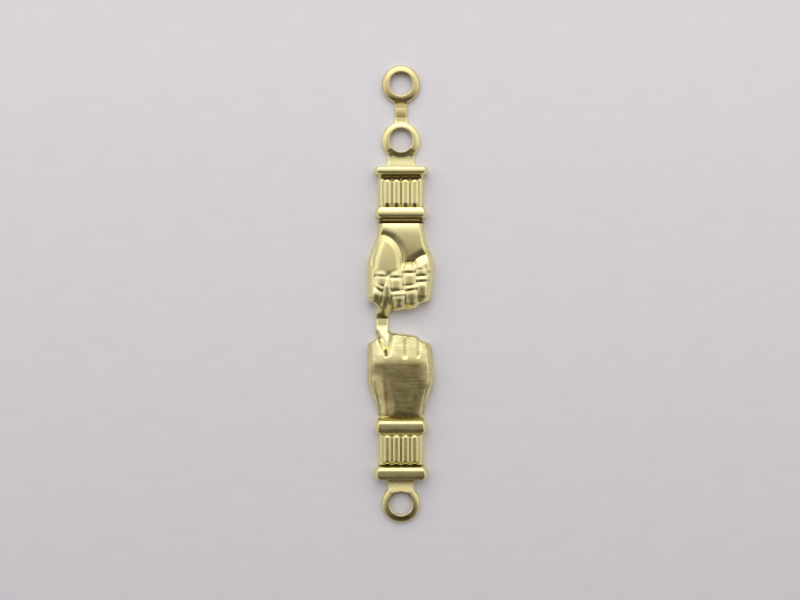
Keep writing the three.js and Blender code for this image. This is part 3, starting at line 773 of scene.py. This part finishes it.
def struck_piece(region, body, sheet, side, finish, marks):
    """Cuts one region from a struck half: side is 1 on the palm half and -1 on the back half."""
    node, start, end, relief, left, right, crowding = region
    stations = np.linspace(start, end, WIDTH_STATIONS)
    widest = np.max(right(stations) - left(stations))
    piece = add_grid("struck_" + node, columns=round(widest / PITCH), rows=round((end - start) / PITCH))
    across, along, outer = grid_places(piece)
    # rows crowd towards the fingertips, where the outline turns fast
    y = mix(start, end, mix(along, along ** 2, crowding))
    # columns crowd towards both edges, where the wall is steep
    x = mix(left(y), right(y), mix(across, bunched(across), EDGE_CROWDING))
    share = relief(x, y)[1]
    face = SHEET + sheet.sample(sheet.face, x, y) * share
    rim = (across < 0.001) | (across > 0.999)
    z = np.where(outer, face, np.where(rim, 0.0, sheet.sample(sheet.inner, x, y)))
    place_points(piece, x, side * y, z)
    # painted shade: the hollow mark darkens crevices, the shade spots and bands, and the foot of the side
    # walls; the tan marks are partly painted shade
    tints, shade_spots, bands = marks
    shade_marks = shade_marks_over(x, y, shade_spots, bands)
    painted_shade = sheet.sample(sheet.hollow, x, y) + SHADE_MARK_DEPTH * shade_marks + WALL_SHADE * (1 - share)
    mark(piece, "hollow", np.where(outer, painted_shade, 0.0))
    mark(piece, "tan_and_shade", np.where(outer, spots(x, y, tints), 0.0))
    finish_piece(piece, node, body, finish)


class Plate:
    """The flat tongue that leaves a ring: way is 1 away from the hand and -1 towards it.

    The saddle gives the height of the face over the sheet, by how far forwards a point lies and by its
    distance from the ring's centre.
    """

    LEAST_FORWARDS = 0.05
    HALVINGS = 24

    def __init__(self, way, reach, half_width, foot=0.0, fillet=0.0, saddle=None):
        self.way = way
        self.reach = reach
        self.half_width = half_width
        self.foot = foot
        self.fillet = fillet
        self.saddle = saddle

    def edge(self, forwards):
        at_foot = self.foot * fade(self.reach - forwards, FOOT_LENGTH)
        return self.half_width + at_foot + self.fillet * fade(forwards - FILLET_START, FILLET_LENGTH)

    def outline(self, sideways, forwards):
        """Distance from the ring's centre to the plate's edge, along unit directions, by halving."""
        inside = np.zeros_like(forwards)
        outside = self.reach / np.maximum(forwards, self.LEAST_FORWARDS)
        ahead = forwards > self.LEAST_FORWARDS
        for _ in range(self.HALVINGS):
            middle = (inside + outside) / 2
            within = middle * np.abs(sideways) < self.edge(middle * forwards)
            inside = np.where(within, middle, inside)
            outside = np.where(within, outside, middle)
        return np.where(ahead, inside, 0.0)


def ring_lift(distance):
    """How far the ring's face stands over the sheet: level by the hole, rounding to the rim."""
    past = clamp01((distance - RING_CREST) / (RING_OUTER - RING_CREST))
    return RING_BULGE * np.sqrt(1 - past ** 2)


def add_annulus(name):
    """A circle drawn out band by band, from radius 1 outwards, then extruded into two skins."""
    bpy.ops.object.select_all(action="DESELECT")
    bpy.ops.mesh.primitive_circle_add(vertices=RING_SIDES, radius=1, fill_type="NOTHING",
                                      location=(0, 0, 0))
    piece = edit_new(name)
    for band in range(1, RING_BANDS + 1):
        bpy.ops.mesh.extrude_region_move()
        grow = (band + 1) / band
        bpy.ops.transform.resize(value=(grow, grow, 1), center_override=(0, 0, 0))
    add_second_skin()
    return piece


def ring_places(points, plates):
    """Draws the annulus out over the ring and its plates: a unit direction and a distance each."""
    heading = np.arctan2(points[:, 0], points[:, 1])
    # the spokes nearest a plate's corners turn to meet them
    for plate in plates:
        corner = math.atan2(plate.half_width + plate.foot, plate.reach)
        for target in (corner, -corner):
            if plate.way < 0:
                target = math.copysign(math.pi - abs(target), target)
            heading = np.where(np.abs(heading - target) < math.pi / RING_SIDES, target, heading)
    sine, cosine = np.sin(heading), np.cos(heading)
    reach = np.full(len(points), RING_OUTER)
    for plate in plates:
        reach = np.maximum(reach, plate.outline(sine, plate.way * cosine))
    # bands bunch up at the hole and at the rim, where the face turns over
    band_share = (np.hypot(points[:, 0], points[:, 1]) - 1) / RING_BANDS
    return sine, cosine, RING_HOLE + (reach - RING_HOLE) * bunched(band_share)


def ring_face(x, y, distance, cosine, plates):
    """Height of the ring's face: its dome, each plate's saddle, and the eased rim and hole."""
    lift = soft_max(ring_lift(distance), np.zeros_like(distance), RING_BLEND)
    rim = RING_OUTER - distance
    for plate in plates:
        forwards = plate.way * y
        if plate.saddle:
            ahead = smooth_step(*SADDLE_ARC, plate.way * cosine)
            lift = mix(lift, plate.saddle(forwards, distance), ahead)
        beside = np.where(forwards > PLATE_ROOT, plate.edge(forwards) - np.abs(x), -np.inf)
        rim = np.maximum(rim, beside)
    drop = edge_drop(rim, RIM_EASE) + edge_drop(distance - RING_HOLE, HOLE_EASE)
    return SHEET + lift - drop


def ring_piece(name, node, body, centre, plates, side, finish, lower_arc_shade, foot_shade=(0, 1), tint=0.0):
    """A domed ring with its plates: side is 1 beyond the palm and -1 beyond the back of the hand.

    The painted shade at the foot of its shank is a strength and the distance over which it fades out.
    """
    piece = add_annulus(name)
    points = read_points(piece)
    top = points[:, 2] > 0.5
    sine, cosine, distance = ring_places(points, plates)
    x, y = distance * sine, distance * cosine
    face = ring_face(x, y, distance, cosine, plates)
    under = ring_lift(distance) * smooth_step(0.0, UNDER_RIM, RING_OUTER - distance)
    z = np.where(top, face, np.minimum(under, face - LEAST_WALL))
    place_points(piece, x, side * (y + centre), z)
    # painted shade on the ring's -Y side, and at the foot of its shank
    painted_shade = lower_arc_shade * smooth_step(*LOW_ARC, -side * cosine) * smooth_step(*LOW_ARC_OUTER, distance)
    for plate in plates:
        if plate.saddle:
            by_foot = smooth_step(foot_shade[1], 0.0, plate.reach - plate.way * y)
            painted_shade = np.maximum(painted_shade, foot_shade[0] * by_foot)
    mark(piece, "hollow", np.where(top, painted_shade, 0.0))
    inner_band = smooth_step(RING_BAND + BAND_SOFTNESS, RING_BAND - BAND_SOFTNESS, distance)
    mark(piece, "tan_and_shade", np.maximum(BAND_TINT * inner_band, tint))
    finish_piece(piece, node, body, finish)


def strip_piece(name, node, start, end, left, right, top_height, finish, tint=0.0):
    """A narrow length of sheet that is made to be bent: a grid in two skins, its edges eased."""
    piece = add_grid(name, STRIP_COLUMNS, STRIP_ROWS)
    across, along, outer = grid_places(piece)
    y = mix(start, end, along)
    x = mix(left, right, bunched(across))
    drop = edge_drop(np.minimum(x - left, right - x), STRIP_EASE)
    z = np.where(outer, top_height(y) - drop, 0.0)
    place_points(piece, x, y, z)
    mark(piece, "hollow", np.zeros(len(along)))
    mark(piece, "tan_and_shade", np.full(len(along), tint))
    finish_piece(piece, node, None, finish)
    return piece


def link(tree, source, target):
    tree.links.new(source, target)


def noise_at(tree, coordinates, scale, detail, stretch=(1, 1, 1)):
    mapping = tree.nodes.new("ShaderNodeMapping")
    mapping.inputs["Scale"].default_value = stretch
    noise = tree.nodes.new("ShaderNodeTexNoise")
    noise.inputs["Scale"].default_value = scale
    noise.inputs["Detail"].default_value = detail
    link(tree, coordinates, mapping.inputs["Vector"])
    link(tree, mapping.outputs["Vector"], noise.inputs["Vector"])
    return noise.outputs["Fac"]


def spread(tree, value, source, target):
    """Carries one range of values over to another, and holds at its ends."""
    node = tree.nodes.new("ShaderNodeMapRange")
    node.inputs["From Min"].default_value, node.inputs["From Max"].default_value = source
    node.inputs["To Min"].default_value, node.inputs["To Max"].default_value = target
    link(tree, value, node.inputs["Value"])
    return node.outputs["Result"]


def tinted(tree, share, low, high):
    """Mixes two colours, each a colour socket or a plain tuple."""
    node = tree.nodes.new("ShaderNodeMix")
    node.data_type = "RGBA"
    link(tree, share, node.inputs[0])
    for socket, colour in ((node.inputs[6], low), (node.inputs[7], high)):
        if isinstance(colour, tuple):
            socket.default_value = (*colour, 1)
        else:
            link(tree, colour, socket)
    return node.outputs[2]


def read_mark(tree, name):
    """One of the numbers that mark() keeps at the points of the mesh."""
    node = tree.nodes.new("ShaderNodeAttribute")
    node.attribute_name = name
    return node.outputs["Fac"]


# Brass where it is clean, its warmer mottling, a tan that is partly painted shade, and a dark brown for
# painted shade in crevices and for scratches
BRASS = (0.93, 0.875, 0.46)
BRASS_WARM = (0.91, 0.82, 0.38)
BRASS_TAN = (0.7, 0.56, 0.25)
TARNISH_AND_SHADE = (0.14, 0.1, 0.05)
GRAIN_DEPTH = 0.02 * MM


def new_material(name):
    material = bpy.data.materials.new(name)
    material.use_nodes = True
    tree = material.node_tree
    coordinates = tree.nodes.new("ShaderNodeTexCoord").outputs["Object"]
    return material, tree, tree.nodes["Principled BSDF"], coordinates


def brass(name, roughness, brushed):
    """Satin brass: mottled tone, painted shade in the hollows, tan marks that are partly painted shade, a
    fine grain and, if brushed, long scratches.
    """
    material, tree, shader, coordinates = new_material(name)
    shader.inputs["Metallic"].default_value = 1.0
    mottle = noise_at(tree, coordinates, scale=420, detail=3)
    colour = tinted(tree, spread(tree, mottle, (0.35, 0.7), (0, 1)), BRASS, BRASS_WARM)
    # painted shade in crevices and low places, read from the hollow mark
    sunken = spread(tree, read_mark(tree, "hollow"), (0.02, 0.2), (0, 0.92))
    colour = tinted(tree, sunken, colour, TARNISH_AND_SHADE)
    # tan marks, partly painted shade
    colour = tinted(tree, read_mark(tree, "tan_and_shade"), colour, BRASS_TAN)
    if brushed:
        grain = noise_at(tree, coordinates, scale=4200, detail=4, stretch=(0.14, 1, 1))
        colour = tinted(tree, spread(tree, grain, (0.3, 0.62), (0.16, 0)), colour, TARNISH_AND_SHADE)
        blotches = noise_at(tree, coordinates, scale=1500, detail=4, stretch=(0.6, 1, 1))
        colour = tinted(tree, spread(tree, blotches, (0.35, 0.6), (0.22, 0)), colour, TARNISH_AND_SHADE)
    else:
        grain = noise_at(tree, coordinates, scale=6500, detail=4)
    link(tree, colour, shader.inputs["Base Color"])
    patches = noise_at(tree, coordinates, scale=1300, detail=4)
    link(tree, spread(tree, patches, (0.3, 0.7), (roughness - 0.03, roughness + 0.05)),
         shader.inputs["Roughness"])
    bump = tree.nodes.new("ShaderNodeBump")
    bump.inputs["Strength"].default_value = 0.25 if brushed else 0.12
    bump.inputs["Distance"].default_value = GRAIN_DEPTH
    link(tree, grain, bump.inputs["Height"])
    link(tree, bump.outputs["Normal"], shader.inputs["Normal"])
    return material


# The paper mixes two tones along its fibres, a pale pair at its +Y end and a darker pair at its -Y end, a
# painted shade towards -Y
PAPER_PALE = ((0.965, 0.945, 0.96), (0.99, 0.97, 0.985))
PAPER_SHADED = ((0.79, 0.765, 0.785), (0.81, 0.785, 0.805))
PAPER_SHADE_SPAN = (-36 * MM, 24 * MM)


def paper():
    material, tree, shader, coordinates = new_material("pale_paper")
    shader.inputs["Roughness"].default_value = 0.9
    shader.inputs["Specular IOR Level"].default_value = 0.1
    fibres = spread(tree, noise_at(tree, coordinates, scale=700, detail=5, stretch=(0.5, 1, 1)),
                    (0.3, 0.7), (0, 1))
    parts = tree.nodes.new("ShaderNodeSeparateXYZ")
    link(tree, coordinates, parts.inputs[0])
    shaded_tone = tinted(tree, fibres, *PAPER_SHADED)
    pale = tinted(tree, fibres, *PAPER_PALE)
    # painted shade: the paper darkens towards -Y
    colour = tinted(tree, spread(tree, parts.outputs["Y"], PAPER_SHADE_SPAN, (0, 1)), shaded_tone, pale)
    link(tree, colour, shader.inputs["Base Color"])
    return material


# Each bead: where it starts, its groove, its length, its half width and its two corners
FRONT_WRIST = (PALM_LENGTH, FRONT_WRIST_GROOVE, FRONT_WRIST_BEAD, *WRIST_BEAD_EDGE)
FRONT_END = (FRONT_END_START, FRONT_END_GROOVE, FRONT_END_BEAD, *FRONT_END_BEAD_EDGE)
BACK_WRIST = (BACK_HAND_LENGTH, BACK_WRIST_GROOVE, BACK_WRIST_BEAD, *WRIST_BEAD_EDGE)
BACK_END = (BACK_END_START, BACK_END_GROOVE, BACK_END_BEAD, *BACK_END_BEAD_EDGE)


def front_saddle(forwards, distance):
    """The bail ring's face falls away behind its hole, then climbs gently to the bead."""
    dip = SADDLE_TOP * fade(distance - RING_HOLE, SADDLE_LOW - RING_HOLE, SADDLE_POWER)
    climb = clamp01((forwards - SADDLE_LOW) / (RING_CENTRE - FRONT_SHANK_START - SADDLE_LOW))
    return soft_max(dip, SHANK_RAMP * climb, SADDLE_BLEND)


def back_saddle(forwards, distance):
    """The end ring's face falls evenly to the bead."""
    outwards = np.minimum(forwards, distance) - RING_HOLE
    return RING_BULGE * fade(outwards, RING_CENTRE - BACK_SHANK_START - RING_HOLE, power=1)


def shank_plate(start, saddle):
    return Plate(-1, RING_CENTRE - start, SHANK_WIDTH / 2, foot=(SHANK_FOOT - SHANK_WIDTH) / 2,
                 saddle=saddle)


# A region is a node, its start and end, its relief, its left and right edges by the distance from the
# fold, and how far its rows crowd towards the fingertips.
def hand_region(node, length, height, roll):
    return node, THUMB_STRIP_END, length, hand_relief(height, roll), left_edge, right_edge, HAND_CROWDING


def bead_region(node, bead, falls, outer_foot=None):
    start, groove, length = bead[:3]
    edge = bead_edge(*bead)
    relief = bead_relief(bead, falls, outer_foot)
    return node, start, start + groove + length, relief, lambda y: -edge(y), edge, 0


def cuff_region(node, start, length):
    def edge(y):
        return np.full_like(y, CUFF_HALF_WIDTH)
    return node, start, start + length, cuff_relief(start, length), lambda y: -edge(y), edge, 0


def front_half(satin):
    regions = [
        hand_region("palm", PALM_LENGTH, palm_height, PALM_ROLL),
        bead_region("front_wrist_bead", FRONT_WRIST, -1),
        cuff_region("front_fluted_cuff", FRONT_CUFF_START, FRONT_CUFF),
        bead_region("front_end_bead", FRONT_END, -1, SHANK_RAMP),
    ]
    sheet = StruckSheet(regions, PALM_LENGTH)
    for region in regions:
        struck_piece(region, "palm_half", sheet, 1, satin, FRONT_MARKS)
    shank = shank_plate(FRONT_SHANK_START, front_saddle)
    neck = Plate(1, NECK_STRIP_START - RING_CENTRE, NECK_WIDTH / 2, fillet=FRONT_NECK_FILLET)
    ring_piece("struck_bail_ring", "front_bail_ring", "palm_half", RING_CENTRE, [shank, neck], 1, satin,
               lower_arc_shade=0.07, foot_shade=(0.05, 0.3))


def back_half(satin, brushed):
    regions = [
        hand_region("back_of_hand", BACK_HAND_LENGTH, back_height, BACK_ROLL),
        bead_region("back_wrist_bead", BACK_WRIST, 1),
        cuff_region("back_fluted_cuff", BACK_CUFF_START, BACK_CUFF),
        bead_region("back_end_bead", BACK_END, 1, 0.0),
    ]
    sheet = StruckSheet(regions, BACK_HAND_LENGTH)
    for region in regions:
        finish = brushed if region[0] == "back_of_hand" else satin
        struck_piece(region, "back_half", sheet, -1, finish, BACK_MARKS)
    shank = shank_plate(BACK_SHANK_START, back_saddle)
    ring_piece("struck_end_ring", "end_ring", "back_half", RING_CENTRE, [shank], -1, satin,
               lower_arc_shade=0.16, foot_shade=(0.17, 1.0), tint=0.25)


def thumb_strip_top(y):
    return SHEET - THUMB_STRIP_SLOPE * y


def neck_strip_top(y):
    return SHEET + NECK_SWELL * np.sin(math.pi * (y - NECK_STRIP_START) / NECK_STRIP_LENGTH)


def bends(satin):
    """The two narrow strips that fold, and the ring beyond the second one."""
    thumb = strip_piece("thumb_bend", "thumb_bend_strip", -THUMB_STRIP_END, THUMB_STRIP_END,
                        THUMB_LEFT, THUMB_RIGHT, thumb_strip_top, satin)
    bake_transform(thumb)
    neck = strip_piece("neck_bend", "neck_bend_strip", NECK_STRIP_START, NECK_STRIP_END,
                       -NECK_WIDTH / 2, NECK_WIDTH / 2, neck_strip_top, satin, tint=0.8)
    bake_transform(neck)
    neck_root = Plate(-1, LOCK_CENTRE - NECK_STRIP_END, NECK_WIDTH / 2, fillet=LOCK_NECK_FILLET)
    ring_piece("struck_lock_ring", "lock_ring", "lock_tab", LOCK_CENTRE, [neck_root], 1, satin,
               lower_arc_shade=0.06, tint=0.62)


def strike_charm():
    satin = (brass("satin_brass", roughness=0.27, brushed=False), "bright_brass")
    brushed = (brass("brushed_brass", roughness=0.22, brushed=True), "brushed_brass")
    front_half(satin)
    back_half(satin, brushed)
    bends(satin)


# The sky's warm tone where it is dim, and its cooler one where it is bright
SKY_DIM = (1.0, 0.86, 0.7)
SKY_BRIGHT = (1.0, 1.0, 1.07)


def studio_world():
    """A soft sky: dim straight overhead and at the horizon, bright from +Y and from both sides."""
    world = bpy.data.worlds.new("soft_studio")
    bpy.context.scene.world = world
    world.use_nodes = True
    tree = world.node_tree
    background = tree.nodes["Background"]
    direction = tree.nodes.new("ShaderNodeTexCoord").outputs["Generated"]
    parts = tree.nodes.new("ShaderNodeSeparateXYZ")
    link(tree, direction, parts.inputs[0])

    def combine(operation, first, second):
        node = tree.nodes.new("ShaderNodeMath")
        node.operation = operation
        for socket, value in zip(node.inputs, (first, second)):
            if isinstance(value, (int, float)):
                socket.default_value = value
            else:
                link(tree, value, socket)
        return node.outputs[0]

    sideways = combine("ABSOLUTE", parts.outputs["X"], 0)
    ahead = parts.outputs["Y"]
    # the ceiling brightens towards +Y and to the sides
    outwards = combine("ADD", ahead, combine("MULTIPLY", sideways, 0.6))
    ceiling = spread(tree, outwards, (0.15, 0.6), (0.52, 1))
    # a warm dark patch hangs over the -Y side, from just past the zenith down
    behind = combine("MAXIMUM", combine("MULTIPLY", ahead, -0.6), 0)
    patch = spread(tree, combine("SUBTRACT", sideways, behind), (0.18, 0.55), (1, 0))
    patch = combine("MULTIPLY", patch, spread(tree, ahead, (-0.22, 0.03), (1, 0)))
    patch = combine("MULTIPLY", patch, spread(tree, ahead, (-0.9, -0.4), (0.75, 1)))
    shaded = combine("SUBTRACT", 1, combine("MULTIPLY", patch, 0.9))
    horizon = spread(tree, parts.outputs["Z"], (0.05, 0.35), (0.42, 1))
    strength = combine("MULTIPLY", combine("MULTIPLY", ceiling, shaded), horizon)
    colour = tinted(tree, spread(tree, strength, (0.1, 0.95), (0, 1)), SKY_DIM, SKY_BRIGHT)
    link(tree, colour, background.inputs["Color"])
    link(tree, strength, background.inputs["Strength"])


def softbox(name, azimuth, elevation, distance, size, power):
    """A square soft lamp, aimed at the charm; azimuth 0 is +X and 90 is +Y."""
    turn, lift = math.radians(azimuth), math.radians(elevation)
    place = Vector((math.cos(lift) * math.cos(turn), math.cos(lift) * math.sin(turn), math.sin(lift)))
    bpy.ops.object.light_add(type="AREA", location=place * distance)
    lamp = bpy.context.object
    lamp.name = name
    lamp.data.size = size
    lamp.data.energy = power
    lamp.rotation_euler = place.to_track_quat("Z", "Y").to_euler()


# The floor lies a hair below the charm, so that no two faces share a plane
FLOOR_SIZE = 40
FLOOR_DROP = 0.02 * MM


def floor():
    bpy.ops.object.select_all(action="DESELECT")
    bpy.ops.mesh.primitive_plane_add(size=FLOOR_SIZE, location=(0, 0, -FLOOR_DROP))
    sheet = bpy.context.object
    sheet.name = "floor"
    sheet.data.materials.append(paper())


# The photograph is 800 pixels wide and shows 80 mm of paper
VIEW_WIDTH = 80 * MM
VIEW_CENTRE = (-0.1 * MM, -0.61 * MM)
CAMERA_HEIGHT = 110 * MM
SENSOR_WIDTH = 36


def camera():
    bpy.ops.object.camera_add(location=(*VIEW_CENTRE, CAMERA_HEIGHT), rotation=(0, 0, 0))
    eye = bpy.context.object
    eye.data.sensor_width = SENSOR_WIDTH
    eye.data.lens = SENSOR_WIDTH * (CAMERA_HEIGHT - SHEET * MM) / VIEW_WIDTH
    eye.data.clip_start = 5 * MM
    bpy.context.scene.camera = eye


camera()
strike_charm()
floor()
studio_world()
softbox("lamp_window", azimuth=95, elevation=40, distance=0.7, size=0.65, power=1.1)
bpy.context.scene.view_settings.view_transform = "Standard"
